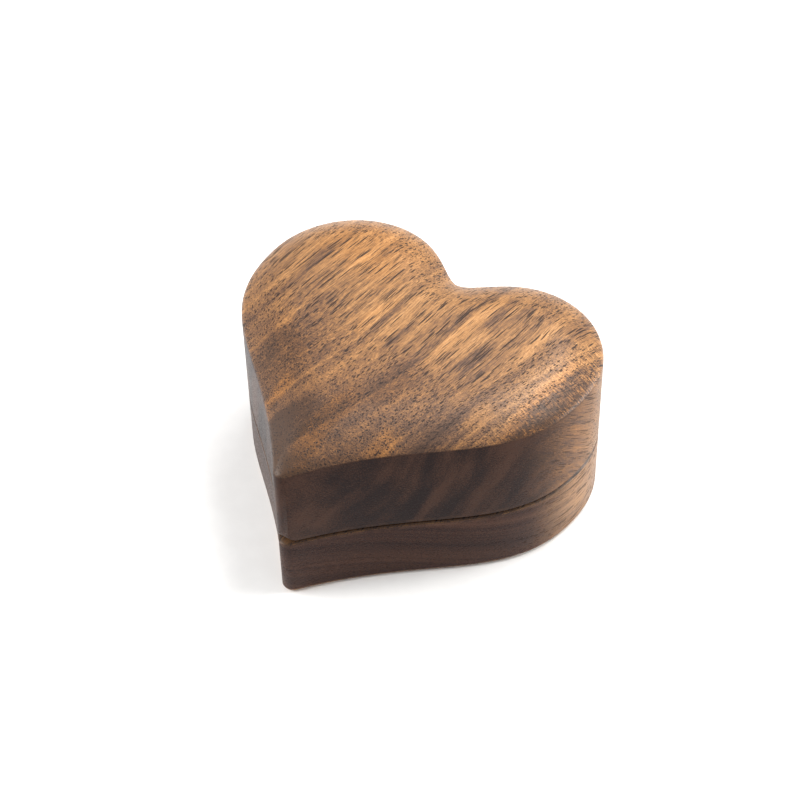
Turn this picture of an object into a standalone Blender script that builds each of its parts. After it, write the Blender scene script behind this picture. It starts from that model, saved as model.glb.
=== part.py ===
"""Heart-shaped wooden ring box with a lid that flips up on two barrel hinges in its lobes.

Lengths are in metres. +Z is up, the tip of the heart points to -Y and its lobes to +Y,
and the box is symmetric about the plane X = 0. The origin is on the table, under the
middle of the box. The lid is modelled closed.
"""
import math

import bmesh
import bpy
from mathutils import Matrix, Vector

# Heart outline
WIDTH = 0.0600
DEPTH = 0.0552
LOBE_SPACING = 0.0291
SHOULDER_DEPTH = 0.0162
NOTCH_DEPTH = 0.0066
TIP_ANGLE = math.radians(72.2)
TIP_RADIUS = 0.0016

# Length of each curve handle, as a share of the stretch that the handle shapes
ROUND_FULLNESS = 0.5523
NOTCH_FULLNESS = 0.19
FLANK_FULLNESS = 0.472
TIP_FULLNESS = 0.624

# Points along the notch, lobe and flank curves, and round the tip
CURVE_STEPS = (13, 19, 27)
TIP_STEPS = 6

# Heights
BASE_HEIGHT = 0.0117
SEAM_GAP = 0.0003
LID_WALL_HEIGHT = 0.0158
DOME_HEIGHT = 0.0030
DOME_WIDTH = 0.0090
DOME_STEPS = 11

# Wood sanded away at the tip: growth of the tip's radius up the dome, and how far its top edge droops
TIP_SOFTENING = 0.5
TIP_DROOP = 0.0008
TIP_DROOP_REACH = 0.0060

# Eased wood edges
FOOT_RADIUS = 0.0010
RIM_EASE = 0.00025
MOUTH_EASE = 0.0003
TOP_EDGE_EASE = 0.0004
THUMB_RADIUS = 0.0022
EDGE_STEPS = 3

# Hollows
WALL = 0.0070
FLOOR_THICKNESS = 0.0028
LID_TOP_THICKNESS = 0.0038
POCKET_TIP_RADIUS = 0.0030

# Cushion halves and lid lining
LINING_GAP = 0.0003
CUSHION_RISE = 0.0016
CUSHION_EDGE_RADIUS = 0.0025
LID_LINING_THICKNESS = 0.0012
RING_SLOT_WIDTH = 0.0024
RING_SLOT_MOUTH_RADIUS = 0.0020
RING_SLOT_Y = 0.0050

# Magnet pair
MAGNET_DIAMETER = 0.0050
MAGNET_THICKNESS = 0.0020
MAGNET_PLAY = 0.0002
MAGNET_WALL = 0.0018

# Barrel hinges
OPENING_ANGLE = math.radians(95)
STOP_CLEARANCE = math.radians(1)
HINGE_BACK_WALL = 0.0012
BARREL_DIAMETER = 0.0040
BARREL_LENGTH = 0.0065
BARREL_PLAY = 0.0002
SHOULDER_PLAY = 0.0005
KNUCKLE_RADIUS = 0.0012
KNUCKLE_PLAY = 0.0003
FORK_INSET = 0.0005
TONGUE_WIDTH = 0.0011
TONGUE_PLAY = 0.0003
FORK_WEB = 0.0003
PIN_DIAMETER = 0.0010
PIN_PLAY = 0.0001

ROUND_SEGMENTS = 24
OVERCUT = 0.0010
MERGE_DISTANCE = 0.000001
SHARP_ANGLE = math.radians(35)

SEAM_HEIGHT = BASE_HEIGHT + SEAM_GAP
TOP_EDGE_HEIGHT = SEAM_HEIGHT + LID_WALL_HEIGHT
HEIGHT = TOP_EDGE_HEIGHT + DOME_HEIGHT
CEILING_HEIGHT = HEIGHT - LID_TOP_THICKNESS
CUSHION_BOTTOM = FLOOR_THICKNESS + LINING_GAP
CUSHION_TOP = BASE_HEIGHT + CUSHION_RISE
SHARP_TIP_Y = -DEPTH / 2 - TIP_RADIUS * (1 / math.sin(TIP_ANGLE / 2) - 1)
MAGNET_Y = SHARP_TIP_Y + (MAGNET_DIAMETER / 2 + MAGNET_PLAY + MAGNET_WALL) / math.sin(TIP_ANGLE / 2)
HINGE_SETBACK = HINGE_BACK_WALL + BARREL_PLAY + BARREL_DIAMETER / 2
HINGE_Y = DEPTH / 2 - HINGE_SETBACK
HINGE_Z = BASE_HEIGHT + SEAM_GAP / 2
STOP_SLOPE = (OPENING_ANGLE + STOP_CLEARANCE) / 2
BARREL_DROP = BARREL_DIAMETER / 2 * math.tan(STOP_SLOPE) + SHOULDER_PLAY
KNUCKLE_ROOM_DIAMETER = 2 * (KNUCKLE_RADIUS / math.cos(STOP_SLOPE) + KNUCKLE_PLAY)
FORK_WIDTH = BARREL_DIAMETER - 2 * FORK_INSET

# Colour, roughness and metallic value of each material
WALNUT = ("walnut", (0.30, 0.17, 0.09, 1.0), 0.45, 0.0)
VELVET = ("velvet", (0.72, 0.66, 0.56, 1.0), 0.95, 0.0)
BRASS = ("brass", (0.78, 0.60, 0.30, 1.0), 0.30, 1.0)
NICKEL = ("nickel", (0.70, 0.70, 0.72, 1.0), 0.25, 1.0)


def remove_scene_objects():
    for obj in list(bpy.context.scene.objects):
        bpy.data.objects.remove(obj, do_unlink=True)


def new_collection(name):
    collection = bpy.data.collections.new(name)
    bpy.context.scene.collection.children.link(collection)
    return collection


def material(look):
    """The material of this name, made the first time that a piece asks for it."""
    name, colour, roughness, metallic = look
    found = bpy.data.materials.get(name)
    if found:
        return found
    made = bpy.data.materials.new(name)
    made.use_nodes = True
    shader = made.node_tree.nodes["Principled BSDF"]
    shader.inputs["Base Color"].default_value = colour
    shader.inputs["Roughness"].default_value = roughness
    shader.inputs["Metallic"].default_value = metallic
    made.diffuse_color = colour
    return made


# ---------------------------------------------------------------- heart outline

def half_curves():
    """Cubic curves of the right half: notch to crown, crown to widest point, widest point to tip."""
    back = DEPTH / 2
    notch = Vector((0, back - NOTCH_DEPTH))
    crown = Vector((LOBE_SPACING / 2, back))
    widest = Vector((WIDTH / 2, back - SHOULDER_DEPTH))
    tip = Vector((0, SHARP_TIP_Y))
    right = Vector((1, 0))
    up = Vector((0, 1))
    flank_rise = widest.y - tip.y
    tip_direction = Vector((math.sin(TIP_ANGLE / 2), math.cos(TIP_ANGLE / 2)))
    return (
        (notch,
         notch + right * NOTCH_FULLNESS * crown.x,
         crown - right * ROUND_FULLNESS * crown.x,
         crown),
        (crown,
         crown + right * ROUND_FULLNESS * (widest.x - crown.x),
         widest + up * ROUND_FULLNESS * SHOULDER_DEPTH,
         widest),
        (widest,
         widest - up * FLANK_FULLNESS * flank_rise,
         tip + tip_direction * TIP_FULLNESS * flank_rise,
         tip),
    )


def inward(curve, t):
    """Unit normal of a half curve, pointing into the heart."""
    a, b, c, d = curve
    tangent = (b - a) * (1 - t) ** 2 + (c - b) * 2 * (1 - t) * t + (d - c) * t ** 2
    return Vector((tangent.y, -tangent.x)).normalized()


def inset_point(curve, t, inset):
    """Point of a half curve, moved into the heart."""
    a, b, c, d = curve
    on_curve = a * (1 - t) ** 3 + b * 3 * (1 - t) ** 2 * t + c * 3 * (1 - t) * t ** 2 + d * t ** 3
    return on_curve + inward(curve, t) * inset


def flank_end(flank, inset):
    """Where along the flank its inset copy meets the plane of symmetry."""
    low, high = 0.0, 1.0
    for _ in range(40):
        middle = (low + high) / 2
        if inset_point(flank, middle, inset).x > 0:
            low = middle
        else:
            high = middle
    return low


def heart(inset, tip_radius):
    """Heart outline moved inwards, with a round tip. It runs anticlockwise from the tip."""
    curves = half_curves()
    flank = curves[-1]
    end = flank_end(flank, inset + tip_radius)
    right_half = []
    for curve, steps in zip(curves, CURVE_STEPS):
        reach = end if curve is flank else 1.0
        for step in range(steps):
            right_half.append(inset_point(curve, reach * step / steps, inset))
    right_half[0].x = 0.0
    outward = -inward(flank, end)
    first_angle = math.atan2(outward.y, outward.x)
    centre_y = inset_point(flank, end, inset + tip_radius).y
    for step in range(TIP_STEPS):
        angle = first_angle + (-math.pi / 2 - first_angle) * step / TIP_STEPS
        right_half.append(Vector((tip_radius * math.cos(angle), centre_y + tip_radius * math.sin(angle))))
    tip = Vector((0, centre_y - tip_radius))
    left_half = [Vector((-point.x, point.y)) for point in right_half[1:]]
    return [tip] + right_half[::-1] + left_half


# ---------------------------------------------------------------- shapes

def finish_mesh(name, shape, collection):
    """Object from a bmesh, shaded smooth except at its edges."""
    mesh = bpy.data.meshes.new(name)
    bmesh.ops.remove_doubles(shape, verts=shape.verts, dist=MERGE_DISTANCE)
    shape.to_mesh(mesh)
    shape.free()
    mesh.shade_smooth()
    mesh.set_sharp_from_angle(angle=SHARP_ANGLE)
    obj = bpy.data.objects.new(name, mesh)
    collection.objects.link(obj)
    return obj


def no_droop(y, height):
    return 0.0


def heart_loft(name, profile, tip_radius, collection, tip_softening=0.0, droop=no_droop):
    """Solid through heart outlines. The profile gives each one's inset and height, bottom first."""
    shape = bmesh.new()
    rings = []
    for inset, height in profile:
        outline = heart(inset, tip_radius + tip_softening * inset)
        rings.append([shape.verts.new((x, y, height - droop(y, height))) for x, y in outline])
    shape.faces.new(rings[0][::-1])
    shape.faces.new(rings[-1])
    for lower, upper in zip(rings, rings[1:]):
        for i in range(len(lower)):
            after = (i + 1) % len(lower)
            shape.faces.new((lower[i], lower[after], upper[after], upper[i]))
    return finish_mesh(name, shape, collection)


def extrusion(name, outline, placing, thickness, collection):
    """Flat outline, given in its own plane, extruded to both sides of that plane."""
    curve = bpy.data.curves.new(name, "CURVE")
    curve.dimensions = "2D"
    curve.fill_mode = "BOTH"
    curve.extrude = thickness / 2
    spline = curve.splines.new("POLY")
    spline.points.add(len(outline) - 1)
    for point, (across, along) in zip(spline.points, outline):
        point.co = (across, along, 0, 1)
    spline.use_cyclic_u = True
    drawn = bpy.data.objects.new(name + "_outline", curve)
    drawn.matrix_world = placing
    collection.objects.link(drawn)
    evaluated = drawn.evaluated_get(bpy.context.evaluated_depsgraph_get())
    shape = bmesh.new()
    shape.from_mesh(bpy.data.meshes.new_from_object(evaluated))
    bpy.data.objects.remove(drawn, do_unlink=True)
    obj = finish_mesh(name, shape, collection)
    obj.matrix_world = placing
    return obj


def level_extrusion(name, outline, bottom, top, collection):
    """Outline seen from above, extruded between two heights."""
    placing = Matrix.Translation((0, 0, (bottom + top) / 2))
    return extrusion(name, outline, placing, top - bottom, collection)


def side_extrusion(name, outline, origin, width, collection):
    """Outline of (y, z) points about the origin given, extruded along X."""
    placing = Matrix.Translation(origin) @ Matrix(((0, 0, 1, 0), (1, 0, 0, 0), (0, 1, 0, 0), (0, 0, 0, 1)))
    return extrusion(name, outline, placing, width, collection)


def cylinder(name, diameter, length, location, collection, along_x=False):
    shape = bmesh.new()
    bmesh.ops.create_cone(shape, cap_ends=True, segments=ROUND_SEGMENTS,
                          radius1=diameter / 2, radius2=diameter / 2, depth=length)
    obj = finish_mesh(name, shape, collection)
    obj.location = location
    if along_x:
        obj.rotation_euler.y = math.pi / 2
    return obj


def block(name, size, location, collection):
    shape = bmesh.new()
    bmesh.ops.create_cube(shape, size=1.0)
    bmesh.ops.scale(shape, vec=size, verts=shape.verts)
    obj = finish_mesh(name, shape, collection)
    obj.location = location
    return obj


def arc(centre, radius, first_angle, last_angle, steps):
    """Points of an arc, its two ends included."""
    points = []
    for step in range(steps + 1):
        angle = first_angle + (last_angle - first_angle) * step / steps
        points.append((centre[0] + radius * math.cos(angle), centre[1] + radius * math.sin(angle)))
    return points


def combine(target, tool, operation="DIFFERENCE"):
    """Boolean of a piece with a tool, which is only a guide from then on."""
    modifier = target.modifiers.new(tool.name, "BOOLEAN")
    modifier.operation = operation
    modifier.object = tool
    tool.hide_render = True
    tool.display_type = "WIRE"


def dress(obj, look, parent=None):
    """Give a piece its material, and its moving parent, without moving the piece."""
    obj.data.materials.append(material(look))
    if parent:
        bpy.context.view_layer.update()
        placing = obj.matrix_world.copy()
        obj.parent = parent
        obj.matrix_parent_inverse = parent.matrix_world.inverted()
        obj.matrix_world = placing


# ---------------------------------------------------------------- wood

def base_profile():
    """Round foot, straight wall and eased rim."""
    foot = arc((FOOT_RADIUS, FOOT_RADIUS), FOOT_RADIUS, -math.pi / 2, -math.pi, EDGE_STEPS)
    return foot + [(0, BASE_HEIGHT - RIM_EASE), (RIM_EASE, BASE_HEIGHT)]


def lid_profile():
    """Eased rim, straight wall, softened top edge and a pillow that flattens towards the middle."""
    def pillow(inset):
        return TOP_EDGE_HEIGHT + DOME_HEIGHT * (1 - (1 - inset / DOME_WIDTH) ** 2)

    wall = [(RIM_EASE, SEAM_HEIGHT),
            (0, SEAM_HEIGHT + RIM_EASE),
            (0, TOP_EDGE_HEIGHT - TOP_EDGE_EASE),
            (TOP_EDGE_EASE / 4, TOP_EDGE_HEIGHT - TOP_EDGE_EASE / 4)]
    insets = [TOP_EDGE_EASE]
    for step in range(1, DOME_STEPS + 1):
        insets.append(TOP_EDGE_EASE + (DOME_WIDTH - TOP_EDGE_EASE) * step / DOME_STEPS)
    return wall + [(inset, pillow(inset)) for inset in insets]


def lid_droop(y, height):
    """How much lower the lid's top surface lies near the tip, where it is sanded down."""
    if height < TOP_EDGE_HEIGHT - TOP_EDGE_EASE:
        return 0.0
    return TIP_DROOP * math.exp(-((y + DEPTH / 2) / TIP_DROOP_REACH) ** 2)


def hinge_places():
    """Name and middle of each hinge, on the joint's axis."""
    return (("left", Vector((-LOBE_SPACING / 2, HINGE_Y, HINGE_Z))),
            ("right", Vector((LOBE_SPACING / 2, HINGE_Y, HINGE_Z))))


def cut_hinge_seats(shell, side, tools):
    """Bores, room for the knuckles and the stop chamfer. side is -1 below the seam, 1 above."""
    bore_length = BARREL_DROP + BARREL_LENGTH + BARREL_PLAY
    bore_diameter = BARREL_DIAMETER + 2 * BARREL_PLAY
    for place, middle in hinge_places():
        bore_middle = middle + Vector((0, 0, side * bore_length / 2))
        combine(shell, cylinder(f"{shell.name}_{place}_bore", bore_diameter, bore_length, bore_middle, tools))
        combine(shell, cylinder(f"{shell.name}_{place}_room", KNUCKLE_ROOM_DIAMETER, bore_diameter, middle,
                                tools, along_x=True))
    reach = HINGE_SETBACK + OVERCUT
    rise = reach * math.tan(STOP_SLOPE)
    wedge = [(0, 0), (reach, side * rise), (reach, -side * OVERCUT), (0, -side * OVERCUT)]
    origin = (0, HINGE_Y, HINGE_Z)
    combine(shell, side_extrusion(shell.name + "_stop_chamfer", wedge, origin, WIDTH, tools))


def cut_magnet_seat(shell, rim_height, side, tools):
    depth = MAGNET_THICKNESS + 2 * MAGNET_PLAY
    length = depth + OVERCUT
    middle = (0, MAGNET_Y, rim_height + side * (depth - length / 2))
    diameter = MAGNET_DIAMETER + 2 * MAGNET_PLAY
    combine(shell, cylinder(shell.name + "_magnet_seat", diameter, length, middle, tools))


def cut_thumb_relief(lid, tools):
    """Round off the lid's lower corner at the tip, which leaves a nick for a thumbnail."""
    centre = (THUMB_RADIUS, THUMB_RADIUS)
    corner = arc(centre, THUMB_RADIUS, -math.pi / 2, -math.pi, 2 * EDGE_STEPS)
    outline = corner + [(-OVERCUT, THUMB_RADIUS), (-OVERCUT, -OVERCUT), (THUMB_RADIUS, -OVERCUT)]
    origin = (0, -DEPTH / 2, SEAM_HEIGHT)
    combine(lid, side_extrusion("lid_thumb_relief", outline, origin, WIDTH / 2, tools))


def make_base(parts, tools):
    base = heart_loft("base_shell", base_profile(), TIP_RADIUS, parts)
    pocket = [(WALL, FLOOR_THICKNESS),
              (WALL, BASE_HEIGHT - MOUTH_EASE),
              (WALL - MOUTH_EASE - OVERCUT, BASE_HEIGHT + OVERCUT)]
    combine(base, heart_loft("base_pocket", pocket, POCKET_TIP_RADIUS, tools))
    cut_hinge_seats(base, -1, tools)
    cut_magnet_seat(base, BASE_HEIGHT, -1, tools)
    dress(base, WALNUT)


def make_lid(parts, tools, hinge_axis):
    lid = heart_loft("lid_shell", lid_profile(), TIP_RADIUS, parts, TIP_SOFTENING, lid_droop)
    recess = [(WALL - MOUTH_EASE - OVERCUT, SEAM_HEIGHT - OVERCUT),
              (WALL, SEAM_HEIGHT + MOUTH_EASE),
              (WALL, CEILING_HEIGHT)]
    combine(lid, heart_loft("lid_recess", recess, POCKET_TIP_RADIUS, tools))
    cut_hinge_seats(lid, 1, tools)
    cut_magnet_seat(lid, SEAM_HEIGHT, 1, tools)
    cut_thumb_relief(lid, tools)
    dress(lid, WALNUT, hinge_axis)


# ---------------------------------------------------------------- velvet

def make_cushion_half(name, side, parts, tools):
    """Half of the ring cushion. side is -1 for the half at the tip and 1 for the half at the lobes."""
    inset = WALL + LINING_GAP
    edge = arc((CUSHION_EDGE_RADIUS, CUSHION_TOP - CUSHION_EDGE_RADIUS), CUSHION_EDGE_RADIUS,
               math.pi, math.pi / 2, EDGE_STEPS)
    profile = [(inset, CUSHION_BOTTOM)] + [(inset + across, height) for across, height in edge]
    half = heart_loft(name, profile, POCKET_TIP_RADIUS - LINING_GAP, parts)
    mouth_centre = (RING_SLOT_WIDTH / 2 + RING_SLOT_MOUTH_RADIUS, CUSHION_TOP - RING_SLOT_MOUTH_RADIUS)
    mouth = arc(mouth_centre, RING_SLOT_MOUTH_RADIUS, math.pi, math.pi / 2, EDGE_STEPS)
    beyond = [(DEPTH, CUSHION_TOP), (DEPTH, 0), (RING_SLOT_WIDTH / 2, 0)]
    outline = [(side * across, height) for across, height in mouth + beyond]
    keep = side_extrusion(name + "_extent", outline, (0, RING_SLOT_Y, 0), WIDTH, tools)
    combine(half, keep, "INTERSECT")
    dress(half, VELVET)


def make_lid_lining(parts, hinge_axis):
    outline = heart(WALL + LINING_GAP, POCKET_TIP_RADIUS - LINING_GAP)
    top = CEILING_HEIGHT - LINING_GAP
    lining = level_extrusion("lid_lining", outline, top - LID_LINING_THICKNESS, top, parts)
    dress(lining, VELVET, hinge_axis)


# ---------------------------------------------------------------- metal

def make_magnets(parts, hinge_axis):
    sunk = MAGNET_PLAY + MAGNET_THICKNESS / 2
    base_place = (0, MAGNET_Y, BASE_HEIGHT - sunk)
    lid_place = (0, MAGNET_Y, SEAM_HEIGHT + sunk)
    dress(cylinder("base_magnet", MAGNET_DIAMETER, MAGNET_THICKNESS, base_place, parts), NICKEL)
    dress(cylinder("lid_magnet", MAGNET_DIAMETER, MAGNET_THICKNESS, lid_place, parts), NICKEL, hinge_axis)


def make_leaf(name, middle, side, plate_width, parts, tools):
    """Barrel with a flat knuckle that reaches the axis, bored for the pin. side is -1 below, 1 above."""
    barrel_middle = middle + Vector((0, 0, side * (BARREL_DROP + BARREL_LENGTH / 2)))
    leaf = cylinder(name, BARREL_DIAMETER, BARREL_LENGTH, barrel_middle, parts)
    root = BARREL_DROP + BARREL_LENGTH / 4
    knuckle = arc((0, 0), KNUCKLE_RADIUS, 0, -side * math.pi, ROUND_SEGMENTS // 2)
    outline = knuckle + [(-KNUCKLE_RADIUS, side * root), (KNUCKLE_RADIUS, side * root)]
    combine(leaf, side_extrusion(name + "_knuckle", outline, middle, plate_width, tools), "UNION")
    pin_bore = cylinder(name + "_pin_bore", PIN_DIAMETER + 2 * PIN_PLAY, BARREL_DIAMETER, middle,
                        tools, along_x=True)
    combine(leaf, pin_bore)
    return leaf


def make_hinge(place, middle, parts, tools, hinge_axis):
    fork = make_leaf(place + "_base_barrel", middle, -1, FORK_WIDTH, parts, tools)
    slot_floor = BARREL_DROP - FORK_WEB
    slot_size = (TONGUE_WIDTH + 2 * TONGUE_PLAY, BARREL_DIAMETER, slot_floor + BARREL_DIAMETER / 2)
    slot_middle = middle + Vector((0, 0, (BARREL_DIAMETER / 2 - slot_floor) / 2))
    combine(fork, block(place + "_fork_slot", slot_size, slot_middle, tools))
    dress(fork, BRASS)
    dress(make_leaf(place + "_lid_barrel", middle, 1, TONGUE_WIDTH, parts, tools), BRASS, hinge_axis)
    dress(cylinder(place + "_hinge_pin", PIN_DIAMETER, FORK_WIDTH, middle, parts, along_x=True), BRASS)


def main():
    remove_scene_objects()
    parts = new_collection("ring_box")
    tools = new_collection("cutters")
    hinge_axis = bpy.data.objects.new("lid_hinge_axis", None)
    hinge_axis.location = (0, HINGE_Y, HINGE_Z)
    parts.objects.link(hinge_axis)
    bpy.context.view_layer.update()
    make_base(parts, tools)
    make_lid(parts, tools, hinge_axis)
    make_cushion_half("cushion_front", -1, parts, tools)
    make_cushion_half("cushion_back", 1, parts, tools)
    make_lid_lining(parts, hinge_axis)
    make_magnets(parts, hinge_axis)
    for place, middle in hinge_places():
        make_hinge(place, middle, parts, tools, hinge_axis)


main()
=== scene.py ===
import math

import bmesh
import bpy
from mathutils import Matrix, Vector


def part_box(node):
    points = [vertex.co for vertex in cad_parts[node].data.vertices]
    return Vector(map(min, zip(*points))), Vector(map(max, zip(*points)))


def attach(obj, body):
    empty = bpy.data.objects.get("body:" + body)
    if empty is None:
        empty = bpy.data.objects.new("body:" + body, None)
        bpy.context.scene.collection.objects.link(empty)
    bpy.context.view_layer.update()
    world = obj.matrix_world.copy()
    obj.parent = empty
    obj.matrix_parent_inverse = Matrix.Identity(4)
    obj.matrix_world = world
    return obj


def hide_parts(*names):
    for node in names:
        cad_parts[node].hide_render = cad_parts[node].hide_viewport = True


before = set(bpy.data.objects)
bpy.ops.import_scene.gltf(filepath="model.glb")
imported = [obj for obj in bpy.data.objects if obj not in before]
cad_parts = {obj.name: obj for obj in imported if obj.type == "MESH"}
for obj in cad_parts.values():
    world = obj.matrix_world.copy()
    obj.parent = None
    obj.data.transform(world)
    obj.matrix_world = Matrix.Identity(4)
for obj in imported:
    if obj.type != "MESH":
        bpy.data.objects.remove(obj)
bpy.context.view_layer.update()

MM = 0.001

# Camera: azimuth 0 looks along +Y, and the roll leans the picture a little to the left
CAMERA_AZIMUTH = math.radians(35.51)
CAMERA_ELEVATION = math.radians(45.88)
CAMERA_ROLL = math.radians(-1.40)
CAMERA_DISTANCE = 0.34137
CAMERA_LENS = 95.78
CAMERA_TARGET = Vector((-0.00047, 0.00480, 0.0150))
CAMERA_SENSOR = 36.0
CAMERA_CLIP = (0.01, 10.0)

# Softboxes: place and size (m), power and colour; each is turned towards the middle of the box
LAMP_AIM = Vector((0, 0, 0.02))
LAMPS = {
    "key": ((0.18, 0.28, 0.66), (0.36, 0.36), 4.2, (1.0, 0.99, 0.97)),
    "sheen": ((-0.04, 0.42, 0.57), (0.28, 0.28), 1.7, (1.0, 0.99, 0.99)),
    "left": ((-0.48, -0.36, 0.42), (0.50, 0.50), 6.2, (1.0, 0.99, 0.97)),
    "rim": ((0.48, 0.38, 0.15), (0.36, 0.24), 3.8, (1.0, 0.98, 0.95)),
}
WORLD_COLOUR = (1.0, 1.0, 1.0)
WORLD_STRENGTH = 0.46
FLOOR_HALF = 3.0
FLOOR_GREYS = [(0.3, (0.88, 0.88, 0.88)), (0.7, (0.90, 0.90, 0.90))]

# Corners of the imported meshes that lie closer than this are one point
WELD_DISTANCE = 0.002 * MM
# Edges between faces that meet at less than this are shaded smooth
SMOOTH_ANGLE = math.radians(38)

# Walnut colours, linear, from the palest wood to the open pores
PALE = (0.50, 0.275, 0.125)
GOLD = (0.36, 0.188, 0.078)
MIDDLE = (0.235, 0.120, 0.053)
BROWN = (0.125, 0.068, 0.042)
DARK = (0.060, 0.036, 0.027)
PORE = (0.018, 0.010, 0.008)
LONG_GRAIN = [(0.10, DARK), (0.30, BROWN), (0.50, MIDDLE), (0.68, GOLD), (0.92, PALE)]
# Tints: of the wood's colour where it is reddish, and of the gloss on oiled end grain
WARM = (1.0, 0.86, 0.64)
OILED = (0.15, 0.15, 0.16)


class Graph:
    """A node material, built up by calls that return sockets."""

    def __init__(self, name):
        self.material = bpy.data.materials.new(name)
        self.material.use_nodes = True
        self.tree = self.material.node_tree
        self.tree.nodes.clear()
        self.shader = self.node("ShaderNodeBsdfPrincipled")
        output = self.node("ShaderNodeOutputMaterial")
        self.tree.links.new(self.shader.outputs["BSDF"], output.inputs["Surface"])

    def feed(self, socket, value):
        if isinstance(value, bpy.types.NodeSocket):
            self.tree.links.new(value, socket)
        elif hasattr(value, "__len__") and len(value) == 3 and socket.type == "RGBA":
            socket.default_value = (*value, 1)
        else:
            socket.default_value = value

    def node(self, kind, inputs=None, **settings):
        node = self.tree.nodes.new(kind)
        for key, value in settings.items():
            setattr(node, key, value)
        for key, value in (inputs or {}).items():
            self.feed(node.inputs[key], value)
        return node

    def set(self, **values):
        for key, value in values.items():
            self.feed(self.shader.inputs[key.replace("_", " ")], value)

    def math(self, operation, *values):
        return self.node("ShaderNodeMath", dict(enumerate(values)), operation=operation).outputs[0]

    def add(self, *values):
        total = values[0]
        for value in values[1:]:
            total = self.math("ADD", total, value)
        return total

    def times(self, a, b):
        return self.math("MULTIPLY", a, b)

    def swing(self, value, weight):
        """A noise's swing about its middle, times a weight."""
        return self.times(self.math("SUBTRACT", value, 0.5), weight)

    def vector(self, operation, *values):
        return self.node("ShaderNodeVectorMath", dict(enumerate(values)), operation=operation)

    def scaled(self, vector, factors):
        return self.vector("MULTIPLY", vector, factors).outputs[0]

    def dot(self, a, b):
        return self.vector("DOT_PRODUCT", a, b).outputs["Value"]

    def join(self, x, y, z):
        return self.node("ShaderNodeCombineXYZ", {0: x, 1: y, 2: z}).outputs[0]

    def split(self, vector):
        return self.node("ShaderNodeSeparateXYZ", {0: vector}).outputs

    def noise(self, vector, scale=1.0, detail=2.0, roughness=0.5):
        return self.node("ShaderNodeTexNoise", {"Vector": vector, "Scale": scale, "Detail": detail,
                                                "Roughness": roughness}).outputs[0]

    def noise_along(self, value, scale, detail, roughness):
        return self.node("ShaderNodeTexNoise", {"W": value, "Scale": scale, "Detail": detail,
                                                "Roughness": roughness}, noise_dimensions="1D").outputs[0]

    def cells(self, vector):
        return self.node("ShaderNodeTexVoronoi", {"Vector": vector, "Scale": 1.0}).outputs

    def remap(self, value, low, high, to_low=0.0, to_high=1.0, kind="SMOOTHSTEP"):
        return self.node("ShaderNodeMapRange", {"Value": value, "From Min": low, "From Max": high,
                                                "To Min": to_low, "To Max": to_high},
                         interpolation_type=kind).outputs[0]

    def ramp(self, value, stops):
        node = self.node("ShaderNodeValToRGB", {"Fac": value})
        node.color_ramp.interpolation = "EASE"
        points = node.color_ramp.elements
        while len(points) < len(stops):
            points.new(0.5)
        for point, (place, colour) in zip(points, stops):
            point.position = place
            point.color = (*colour, 1)
        return node.outputs["Color"]

    def mix(self, share, a, b, blend="MIX"):
        node = self.node("ShaderNodeMix", {0: share, 6: a, 7: b}, data_type="RGBA", blend_type=blend)
        return node.outputs[2]

    def bump(self, height, strength, depth):
        return self.node("ShaderNodeBump", {"Height": height, "Strength": strength,
                                            "Distance": depth}).outputs[0]

    def coordinates(self, kind):
        return self.node("ShaderNodeTexCoord").outputs[kind]

    def millimetres(self):
        """The place on the object, in millimetres."""
        place = self.vector("SCALE", self.coordinates("Object"))
        self.feed(place.inputs["Scale"], 1 / MM)
        return place.outputs[0]


# ---------------------------------------------------------------- walnut

# Noise on the grain's own axes: how fine it is across, along and into the wood
BROAD = (0.12, 0.02, 0.05)
CLOUDS = (0.36, 0.03, 0.09)
PATCHES = (0.70, 0.070, 0.70)
RAYS = (0.6, 4.2, 0.6)
STREAKS = (5.0, 0.13, 5.0)
THREADS = (12.0, 1.1, 12.0)
VESSELS = (2.5, 0.13, 2.5)
SMALL_VESSELS = (4.3, 0.22, 4.3)

# A mark in the lid fades out between these shares of its half width and half length
FADE_ASIDE = (0.4, 1.5)
FADE_AHEAD = (0.3, 1.0)

# Distances from the rim at the seam, in millimetres: of the painted shade in the seam, and of the painted
# highlight on its edge
SEAM_SHADE_FULL = 0.1
SEAM_SHADE_GONE = 0.5
SEAM_HIGHLIGHT_FULL = 0.65
SEAM_HIGHLIGHT_GONE = 1.0

# Marks in the lid's wood, and painted shade: place across and along the grain, half width, half length
# (mm), tone, warmth
LID_MARKS_AND_SHADE = [
    (3.0, -18.5, 1.8, 12.0, 0.10, 0.9),
    # painted shadow of a ring, which is not in the scene
    (-1.9, -19.0, 2.6, 9.0, -0.15, 0.0),
    (-12.5, -10.5, 5.0, 9.0, -0.10, 0.3),
    (-7.4, -17.0, 1.2, 6.0, 0.14, 0.6),
    (17.6, -8.5, 3.5, 8.0, -0.13, 0.0),
    (12.2, 7.5, 1.1, 5.0, -0.26, 0.0),
    (9.9, 15.5, 1.3, 4.0, -0.20, 0.0),
    (7.0, 12.0, 1.1, 14.0, 0.20, 0.2),
    (17.4, 16.5, 0.8, 7.5, 0.26, 0.1),
    (24.3, 9.0, 0.9, 13.0, 0.22, 0.5),
    (27.6, 4.0, 3.0, 17.0, -0.34, 0.9),
    (12.0, -14.0, 1.6, 4.0, 0.15, 0.4),
    (19.9, -1.5, 1.3, 4.0, 0.12, 0.1),
    (-21.8, 9.0, 0.7, 6.0, -0.10, 0.0),
    # darker tip: partly the wood's own tone, partly painted shade
    (0.4, -27.5, 4.5, 6.0, -0.26, 1.0),
    (-17.0, 17.0, 8.0, 9.0, 0.10, 0.5),
    (-6.0, 5.0, 1.1, 7.0, 0.12, 0.3),
    (-4.2, 6.0, 0.5, 6.0, -0.16, 0.0),
    (0.1, 3.5, 0.6, 6.0, -0.18, 0.0),
    (-3.2, -21.0, 1.6, 5.0, -0.22, 0.0),
    (6.5, -5.0, 2.2, 7.0, -0.08, 0.3),
]


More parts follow.
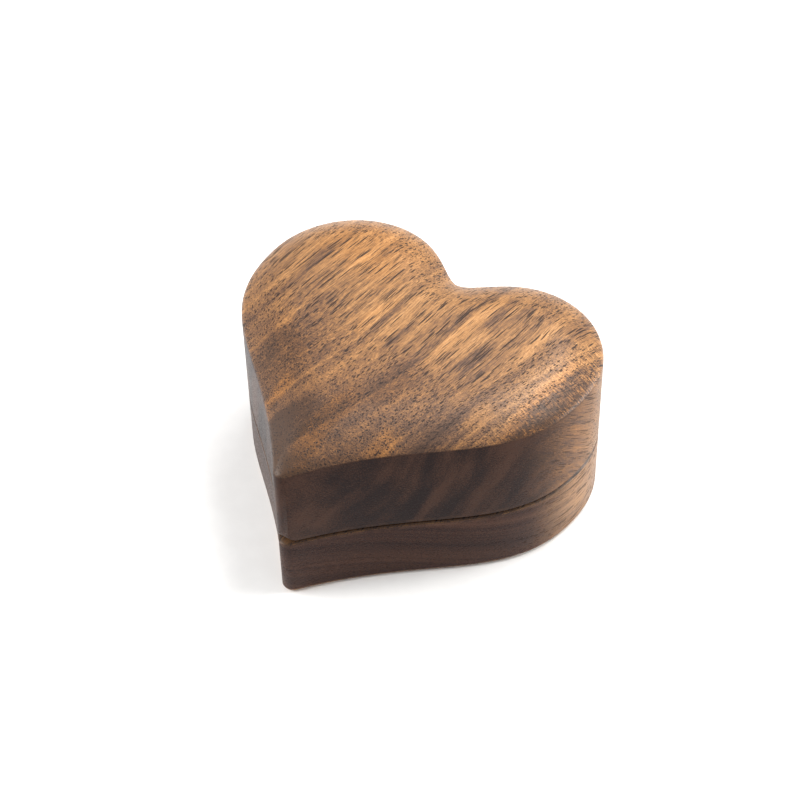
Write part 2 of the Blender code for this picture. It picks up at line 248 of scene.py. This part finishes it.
class Walnut(Graph):
    """Walnut as a solid: bands, streaks and pores all follow one bent grain. Lengths are in millimetres.

    lean is the grain's angle from +Y towards +X, and rise is how steeply the growth rings stand.
    In front of climb_from the grain climbs out of the wood, by bend more for each millimetre,
    and edge_twist does the same towards the right side.
    """

    def __init__(self, name, lean, rise, seed, climb_from=0.0, bend=0.0, edge_twist=0.0):
        super().__init__(name)
        self.place = self.millimetres()
        self.along_axis = (math.sin(lean), math.cos(lean), 0)
        across_axis = (math.cos(lean), -math.sin(lean), 0)
        self.along = self.dot(self.place, self.along_axis)
        self.flat_across = self.dot(self.place, across_axis)
        self.height = self.split(self.place)[2]
        self.facing = self.coordinates("Normal")
        self.upright = self.math("SUBTRACT", 1.0, self.math("ABSOLUTE", self.split(self.facing)[2]))
        self.bend_grain(seed, climb_from, bend, edge_twist)
        self.ring = self.add(self.times(self.across, math.cos(rise)),
                             self.times(self.deep, math.sin(rise)))
        self.draw_figure()

    def bend_grain(self, seed, climb_from, bend, edge_twist):
        """Sets across and deep, the places beside and under a fibre, once the grain wanders and climbs."""
        seeded = self.vector("ADD", self.place, (seed * 37.0, seed * 11.0, seed * 5.0)).outputs[0]
        wander = self.noise(self.scaled(seeded, (1, 0.55, 1)), scale=0.05, detail=1.0)
        self.ripple = self.noise(self.scaled(seeded, (1, 0.35, 1)), scale=0.5, detail=1.0)
        self.across = self.add(self.flat_across, self.swing(wander, 5.0), self.swing(self.ripple, 0.35),
                               seed * 4.3)
        front = self.math("MINIMUM", self.math("SUBTRACT", self.along, climb_from), 0.0)
        lift = self.times(self.times(self.times(front, bend), front), -0.5)
        right = self.math("MAXIMUM", self.math("SUBTRACT", self.flat_across, 15.0), 0.0)
        twist = self.times(self.times(right, edge_twist), self.math("SUBTRACT", self.along, 12.0))
        self.deep = self.add(self.height, lift, self.swing(wander, -3.5), twist)

    def on_grain(self, sideways, factors):
        """A place on the grain's own axes; a larger factor makes what is drawn there finer."""
        return self.join(self.times(sideways, factors[0]), self.times(self.along, factors[1]),
                         self.times(self.deep, factors[2]))

    def draw_figure(self):
        """Sets the growth bands and what runs out along the grain, from broad patches to thin threads."""
        self.bands = self.noise_along(self.ring, scale=0.45, detail=3.0, roughness=0.65)
        self.broad = self.noise(self.on_grain(self.ring, BROAD), detail=1.0)
        self.patches = self.noise(self.on_grain(self.across, PATCHES), detail=3.0, roughness=0.6)
        self.streaks = self.noise(self.on_grain(self.across, STREAKS), detail=2.0, roughness=0.6)
        self.threads = self.noise(self.on_grain(self.across, THREADS), detail=2.0, roughness=0.7)

    def long_grain(self, tone_shift, tip_tone_and_shade, marks_and_shade):
        """Colour of the wood cut along its grain: darker towards the tip by the tone given for it, which
        is partly the wood's own tone and partly painted shade of the slopes there that face away from the
        lamps; paler on upright faces, partly painted light; and warmer at the tip.
        """
        rays = self.swing(self.noise(self.on_grain(self.across, RAYS), detail=1.0),
                          self.remap(self.flat_across, 20.0, 26.0, 0.15, 1.2))
        rays = self.times(rays, self.remap(self.upright, 0.3, 0.6, 1.0, 0.15))
        tone = self.add(self.swing(self.bands, 0.65), self.swing(self.broad, 0.40),
                        self.swing(self.patches, 0.45), self.swing(self.streaks, 0.80),
                        self.swing(self.threads, 0.95), rays, 0.5 + tone_shift,
                        # paler on upright faces: the side cut's paler wood, partly painted light on the
                        # walls the lamps reach
                        self.times(self.remap(self.upright, 0.60, 0.9), 0.20),
                        # darker towards the tip: partly the wood's own tone, partly painted shade of the
                        # slopes turned from the lamps
                        self.remap(self.along, -28.0, 8.0, tip_tone_and_shade, 0.0, kind="LINEAR"))
        warmth = self.remap(self.along, -26.0, 4.0, 0.65, 0.12, kind="LINEAR")
        rippled = self.add(self.flat_across, self.swing(self.ripple, 0.8))
        # marks in the wood, some of them painted shade
        for middle, reach, half_width, half_length, change, warm in marks_and_shade:
            aside = self.math("ABSOLUTE", self.math("SUBTRACT", rippled, middle))
            ahead = self.math("ABSOLUTE", self.math("SUBTRACT", self.along, reach))
            here = self.times(self.fade(aside, half_width, FADE_ASIDE),
                              self.fade(ahead, half_length, FADE_AHEAD))
            tone = self.add(tone, self.times(here, change))
            warmth = self.add(warmth, self.times(here, warm))
        colour = self.ramp(tone, LONG_GRAIN)
        return self.mix(self.math("MINIMUM", warmth, 1.0), colour,
                        self.mix(1.0, colour, WARM, blend="MULTIPLY"))

    def fade(self, distance, half_size, shares):
        return self.remap(distance, half_size * shares[0], half_size * shares[1], 1.0, 0.0)

    def end_grain(self, stops, cloud_weight, band_weight):
        """Colour of the wood cut across its grain, with the rings as soft blotches."""
        cloud = self.noise(self.on_grain(self.ring, CLOUDS), detail=2.0)
        dust = self.noise(self.place, scale=5.5, detail=2.0, roughness=0.8)
        blotch = self.add(self.swing(cloud, cloud_weight), self.swing(self.bands, band_weight),
                          self.swing(self.threads, 0.70), self.swing(self.streaks, 0.45), 0.5,
                          self.swing(dust, 1.5))
        return self.ramp(blotch, stops)

    def dark_end_grain_and_shade(self):
        """How much of the oil the surface drinks, darkening it: all of it on upright end grain that faces
        the tip. End grain is darker of itself; that it is strongest on the walls facing the tip, which
        face away from the lamps, is painted shade.
        """
        end_on = self.dot(self.facing, self.along_axis)
        end_on = self.math("MAXIMUM", self.times(end_on, -1.0), self.times(end_on, 0.25))
        return self.times(self.remap(end_on, -0.34, 0.52), self.remap(self.upright, 0.45, 0.80))

    def pores(self, fineness, spread, outside, strength):
        """Open pores: long thin vessels, seen as dots where the surface cuts them across.

        spread is how much they differ in size, and outside is where their soft outline ends.
        """
        cells = self.cells(self.on_grain(self.across, fineness))
        size = self.add(cells["Distance"], self.times(self.split(cells["Color"])[0], spread),
                        self.swing(self.bands, 0.34))
        return self.remap(size, 0.31, outside, strength, 0.0)

    def mark_seam(self, colour, rim_height, inwards):
        """A pale painted highlight along the seam's edge, and painted shade in the seam itself."""
        # painted highlight: a pale band along the seam's edge
        seam_highlight = self.times(self.remap(self.height, rim_height + SEAM_HIGHLIGHT_FULL * inwards,
                                     rim_height + SEAM_HIGHLIGHT_GONE * inwards, 0.06, 0.0),
                          self.remap(self.patches, 0.35, 0.65))
        # painted shade in the seam and on the rim faces
        seam_shade = self.times(self.remap(self.height, rim_height + SEAM_SHADE_GONE * inwards,
                                      rim_height + SEAM_SHADE_FULL * inwards, 0.0, 0.85),
                           self.remap(self.upright, 0.02, 0.12, 0.8, 1.0))
        return self.mix(seam_shade, self.mix(seam_highlight, colour, GOLD), PORE)


def walnut(wood, tone_shift, tip_tone_and_shade, marks_and_shade, wall_stops, cloud_weight, band_weight, rim_height, inwards):
    """Finishes the wood of one half of the box.

    tone_shift lightens or darkens all of it. cloud_weight and band_weight say how much the end grain's
    clouds and rings show. rim_height is the height of the rim at the seam, and inwards, 1 or -1, is the
    way from there into the half.
    """
    # dark end grain, partly painted shade on the walls turned from the lamps
    end_grain_and_shade = wood.dark_end_grain_and_shade()
    open_wood = wood.math("MAXIMUM", wood.pores(VESSELS, spread=0.14, outside=0.38, strength=1.0),
                          wood.pores(SMALL_VESSELS, spread=0.22, outside=0.42, strength=0.85))
    colour = wood.mix(end_grain_and_shade, wood.long_grain(tone_shift, tip_tone_and_shade, marks_and_shade),
                      wood.end_grain(wall_stops, cloud_weight, band_weight))
    colour = wood.mix(wood.times(open_wood, wood.remap(end_grain_and_shade, 0.0, 1.0, 0.92, 0.30)), colour, PORE)
    wood.set(Base_Color=wood.mark_seam(colour, rim_height, inwards), Specular_IOR_Level=0.30, IOR=1.47,
             Specular_Tint=wood.mix(end_grain_and_shade, (1, 1, 1), OILED))
    wood.set(Roughness=wood.add(wood.times(open_wood, 0.18), wood.times(wood.streaks, 0.16), 0.30))
    relief = wood.add(wood.times(open_wood, -1.0), wood.times(wood.threads, 0.25))
    wood.set(Normal=wood.bump(relief, 0.35, 0.06 * MM))
    return wood.material


# ---------------------------------------------------------------- metal

def metal(name, colour, roughness, fineness):
    """Metal with fine lines from turning or plating; fineness is that of the lines along each axis."""
    g = Graph(name)
    place = g.millimetres()
    lines = g.noise(g.scaled(place, fineness), detail=3.0)
    cloud = g.noise(place, scale=0.7, detail=3.0)
    dull = tuple(0.78 * c for c in colour)
    g.set(Base_Color=g.mix(g.remap(cloud, 0.35, 0.75), colour, dull), Metallic=1.0)
    g.set(Roughness=g.add(g.times(lines, 0.16), g.times(cloud, 0.10), roughness - 0.1))
    g.set(Normal=g.bump(lines, 0.15, 0.02 * MM))
    return g.material


# ---------------------------------------------------------------- shading of the CAD pieces

def smooth_group():
    """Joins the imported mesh's corners and shades it smooth up to an edge angle."""
    group = bpy.data.node_groups.new("smooth_by_angle", "GeometryNodeTree")
    group.interface.new_socket("Geometry", in_out="INPUT", socket_type="NodeSocketGeometry")
    group.interface.new_socket("Geometry", in_out="OUTPUT", socket_type="NodeSocketGeometry")
    nodes, link = group.nodes, group.links.new
    start, end = nodes.new("NodeGroupInput"), nodes.new("NodeGroupOutput")
    plain = nodes.new("GeometryNodeRemoveAttribute")
    plain.inputs["Name"].default_value = "custom_normal"
    weld = nodes.new("GeometryNodeMergeByDistance")
    weld.inputs["Distance"].default_value = WELD_DISTANCE
    edge = nodes.new("GeometryNodeInputMeshEdgeAngle")
    soft = nodes.new("FunctionNodeCompare")
    soft.operation = "LESS_THAN"
    soft.inputs[1].default_value = SMOOTH_ANGLE
    faces = nodes.new("GeometryNodeSetShadeSmooth")
    edges = nodes.new("GeometryNodeSetShadeSmooth")
    edges.domain = "EDGE"
    link(start.outputs[0], plain.inputs["Geometry"])
    link(plain.outputs["Geometry"], weld.inputs["Geometry"])
    link(weld.outputs["Geometry"], faces.inputs["Geometry"])
    link(faces.outputs["Geometry"], edges.inputs["Geometry"])
    link(edge.outputs["Unsigned Angle"], soft.inputs[0])
    link(soft.outputs[0], edges.inputs["Shade Smooth"])
    link(edges.outputs["Geometry"], end.inputs[0])
    return group


SMOOTH = smooth_group()


def finish_cad(name, slot_name):
    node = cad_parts[name]
    modifier = node.modifiers.new("smooth", "NODES")
    modifier.node_group = SMOOTH
    for place in node.material_slots:
        place.material = FINISHES[slot_name]


LID_WOOD = walnut(
    Walnut("walnut_lid", lean=math.radians(6), rise=math.radians(-18), seed=1.0, climb_from=6.0,
           bend=0.026, edge_twist=0.06),
    tone_shift=0.05, tip_tone_and_shade=-0.44, marks_and_shade=LID_MARKS_AND_SHADE,
    # end-grain colours, very dark: partly painted shade on the walls turned from the lamps
    wall_stops=[(0.22, (0.014, 0.008, 0.008)), (0.50, (0.031, 0.015, 0.011)),
                (0.80, (0.055, 0.026, 0.017))],
    cloud_weight=1.7, band_weight=0.35, rim_height=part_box("lid_shell")[0].z / MM, inwards=1)
BASE_WOOD = walnut(
    Walnut("walnut_base", lean=math.radians(2), rise=math.radians(76), seed=2.0),
    tone_shift=-0.04, tip_tone_and_shade=0.0, marks_and_shade=[],
    # end-grain colours, very dark: partly painted shade on the walls turned from the lamps
    wall_stops=[(0.25, (0.019, 0.008, 0.007)), (0.50, (0.037, 0.015, 0.010)),
                (0.75, (0.066, 0.029, 0.018))],
    cloud_weight=0.6, band_weight=0.9, rim_height=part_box("base_shell")[1].z / MM, inwards=-1)
BRASS = metal("brass", (0.80, 0.63, 0.34), roughness=0.32, fineness=(0.4, 0.4, 22.0))
STEEL = metal("steel", (0.62, 0.62, 0.64), roughness=0.28, fineness=(0.8, 14.0, 14.0))
NICKEL = metal("nickel", (0.36, 0.36, 0.37), roughness=0.48, fineness=(2.0, 9.0, 0.6))

SLOTS = {"lid_shell": "walnut_lid", "base_shell": "walnut_base",
         "base_magnet": "nickel", "lid_magnet": "nickel",
         "left_base_barrel": "brass", "left_lid_barrel": "brass",
         "right_base_barrel": "brass", "right_lid_barrel": "brass",
         "left_hinge_pin": "steel", "right_hinge_pin": "steel"}
FINISHES = {"walnut_lid": LID_WOOD, "walnut_base": BASE_WOOD, "brass": BRASS, "steel": STEEL,
            "nickel": NICKEL}
for cad_name, cad_slot in SLOTS.items():
    finish_cad(cad_name, cad_slot)


# ---------------------------------------------------------------- velvet

def velvet(name):
    """Short-pile velvet: pile brushed in soft patches, with a bright sheen at grazing angles."""
    g = Graph(name)
    place = g.millimetres()
    brushed = g.noise(g.scaled(place, (0.12, 0.20, 0.16)), detail=1.0)
    tufts = g.noise(place, scale=6.5, detail=2.0, roughness=0.7)
    cells = g.cells(g.scaled(place, (4.2, 4.2, 4.2)))["Distance"]
    tone = g.add(g.swing(brushed, 0.8), g.swing(tufts, 1.0), g.times(cells, -0.35), 0.65)
    g.set(Base_Color=g.ramp(tone, [(0.20, (0.37, 0.31, 0.24)), (0.5, (0.54, 0.47, 0.38)),
                                   (0.80, (0.68, 0.61, 0.50))]))
    g.set(Roughness=g.add(g.times(tufts, 0.15), 0.78), Specular_IOR_Level=0.15, Sheen_Weight=0.8,
          Sheen_Roughness=0.30, Sheen_Tint=(1.0, 0.96, 0.90, 1.0))
    relief = g.add(tufts, g.times(cells, -0.6), g.times(brushed, 0.2))
    g.set(Normal=g.bump(relief, 0.6, 0.12 * MM))
    return g.material


# Cloth is made for garments, so these small pads are puffed up at 20 times their size
SIM_SCALE = 20.0
SIM_FRAMES = 20
SIM_PRESSURE = 4.0


def evaluated_copy(piece):
    graph = bpy.context.evaluated_depsgraph_get()
    return bpy.data.meshes.new_from_object(piece.evaluated_get(graph), depsgraph=graph)


def apply_modifiers(piece):
    mesh = evaluated_copy(piece)
    piece.modifiers.clear()
    piece.data = mesh


def shrunk_copy(name, node, shrink):
    """The CAD solid at the simulation's scale, with its surface drawn in by shrink."""
    bm = bmesh.new()
    bm.from_mesh(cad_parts[node].data)
    bmesh.ops.remove_doubles(bm, verts=bm.verts, dist=WELD_DISTANCE)
    bm.normal_update()
    for vert in bm.verts:
        vert.co = (vert.co - shrink * vert.normal) * SIM_SCALE
    mesh = bpy.data.meshes.new(name)
    bm.to_mesh(mesh)
    bm.free()
    piece = bpy.data.objects.new(name, mesh)
    bpy.context.scene.collection.objects.link(piece)
    return piece


def smooth(piece, name, iterations):
    modifier = piece.modifiers.new(name, "SMOOTH")
    modifier.factor, modifier.iterations = 0.5, iterations


def puff(piece, is_glued, cap_level, cap_height):
    """Swells the piece with Cloth; the caps are how far a point may move sideways and up or down."""
    start = [vert.co.copy() for vert in piece.data.vertices]
    glued = piece.vertex_groups.new(name="glued")
    glued.add([i for i, co in enumerate(start) if is_glued(co / SIM_SCALE)], 1.0, "REPLACE")
    cloth = piece.modifiers.new("cloth", "CLOTH")
    cloth.settings.use_pressure = True
    cloth.settings.uniform_pressure_force = SIM_PRESSURE
    cloth.settings.vertex_group_mass = "glued"
    cloth.settings.effector_weights.gravity = 0.0
    for frame_number in range(1, SIM_FRAMES + 1):
        bpy.context.scene.frame_set(frame_number)
    puffed = [vert.co.copy() for vert in evaluated_copy(piece).vertices]
    piece.modifiers.clear()
    bpy.context.scene.frame_set(1)
    for vert, was, now in zip(piece.data.vertices, start, puffed):
        move = (now - was) / SIM_SCALE
        level = Vector((move.x, move.y, 0))
        level *= min(1.0, cap_level / max(level.length, 1e-9))
        height = max(-cap_height, min(cap_height, move.z))
        vert.co = was + Vector((level.x, level.y, height)) * SIM_SCALE


def stuffed(name, node, voxel, shrink, caps, is_glued, body):
    """Velvet piece in a CAD solid's place: shrunk a little, remeshed, and puffed up with Cloth.

    is_glued tells which points stay where they are.
    """
    piece = shrunk_copy(name, node, shrink)
    remesh = piece.modifiers.new("remesh", "REMESH")
    remesh.mode = "VOXEL"
    remesh.voxel_size = voxel * SIM_SCALE
    smooth(piece, "relax", 6)
    apply_modifiers(piece)
    puff(piece, is_glued, *caps)
    piece.data.transform(Matrix.Scale(1 / SIM_SCALE, 4))
    smooth(piece, "ease", 2)
    finer = piece.modifiers.new("finer", "SUBSURF")
    finer.levels = finer.render_levels = 1
    apply_modifiers(piece)
    piece.data.shade_smooth()
    piece.data.materials.clear()
    piece.data.materials.append(VELVET)
    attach(piece, body)
    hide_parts(node)


VELVET = velvet("velvet")
CUSHION_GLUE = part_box("cushion_front")[0].z + 3.0 * MM
LINING_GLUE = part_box("lid_lining")[1].z - 0.5 * MM
for half in ("cushion_front", "cushion_back"):
    stuffed(half + "_velvet", half, voxel=0.75 * MM, shrink=0.35 * MM, caps=(0.45 * MM, 1.1 * MM),
            is_glued=lambda co: co.z < CUSHION_GLUE, body="base")
stuffed("lid_lining_velvet", "lid_lining", voxel=0.55 * MM, shrink=0.10 * MM, caps=(0.15 * MM, 0.7 * MM),
        is_glued=lambda co: co.z > LINING_GLUE, body="lid")


# ---------------------------------------------------------------- studio

def add_floor():
    mesh = bpy.data.meshes.new("floor")
    corners = [(-1, -1), (1, -1), (1, 1), (-1, 1)]
    mesh.from_pydata([(FLOOR_HALF * x, FLOOR_HALF * y, 0) for x, y in corners], [], [(0, 1, 2, 3)])
    floor = bpy.data.objects.new("floor", mesh)
    bpy.context.scene.collection.objects.link(floor)
    g = Graph("floor")
    speckle = g.noise(g.coordinates("Object"), scale=300.0, detail=2.0)
    g.set(Base_Color=g.ramp(speckle, FLOOR_GREYS), Roughness=0.9, Specular_IOR_Level=0.1)
    mesh.materials.append(g.material)


def add_lamp(name, place, size, power, colour):
    lamp = bpy.data.lights.new(name, "AREA")
    lamp.shape = "RECTANGLE"
    lamp.size, lamp.size_y = size
    lamp.energy = power
    lamp.color = colour
    lamp_object = bpy.data.objects.new(name, lamp)
    lamp_object.location = place
    lamp_object.rotation_mode = "QUATERNION"
    lamp_object.rotation_quaternion = (LAMP_AIM - Vector(place)).to_track_quat("-Z", "Y")
    bpy.context.scene.collection.objects.link(lamp_object)


def add_world():
    world = bpy.data.worlds.new("studio")
    world.use_nodes = True
    background = world.node_tree.nodes["Background"]
    background.inputs["Color"].default_value = (*WORLD_COLOUR, 1)
    background.inputs["Strength"].default_value = WORLD_STRENGTH
    bpy.context.scene.world = world


def add_camera():
    level = Vector((math.sin(CAMERA_AZIMUTH), -math.cos(CAMERA_AZIMUTH), 0))
    back = level * math.cos(CAMERA_ELEVATION) + Vector((0, 0, math.sin(CAMERA_ELEVATION)))
    right = (-back).cross(Vector((0, 0, 1))).normalized()
    up = right.cross(-back)
    turned_right = right * math.cos(CAMERA_ROLL) + up * math.sin(CAMERA_ROLL)
    turned_up = up * math.cos(CAMERA_ROLL) - right * math.sin(CAMERA_ROLL)
    camera = bpy.data.cameras.new("camera")
    camera.lens = CAMERA_LENS
    camera.sensor_width = CAMERA_SENSOR
    camera.clip_start, camera.clip_end = CAMERA_CLIP
    camera_object = bpy.data.objects.new("camera", camera)
    place = Matrix((turned_right, turned_up, back)).transposed().to_4x4()
    place.translation = CAMERA_TARGET + CAMERA_DISTANCE * back
    camera_object.matrix_world = place
    bpy.context.scene.collection.objects.link(camera_object)
    bpy.context.scene.camera = camera_object


add_floor()
add_world()
for lamp_name, lamp_settings in LAMPS.items():
    add_lamp(lamp_name, *lamp_settings)
add_camera()
bpy.context.scene.view_settings.view_transform = "Standard"
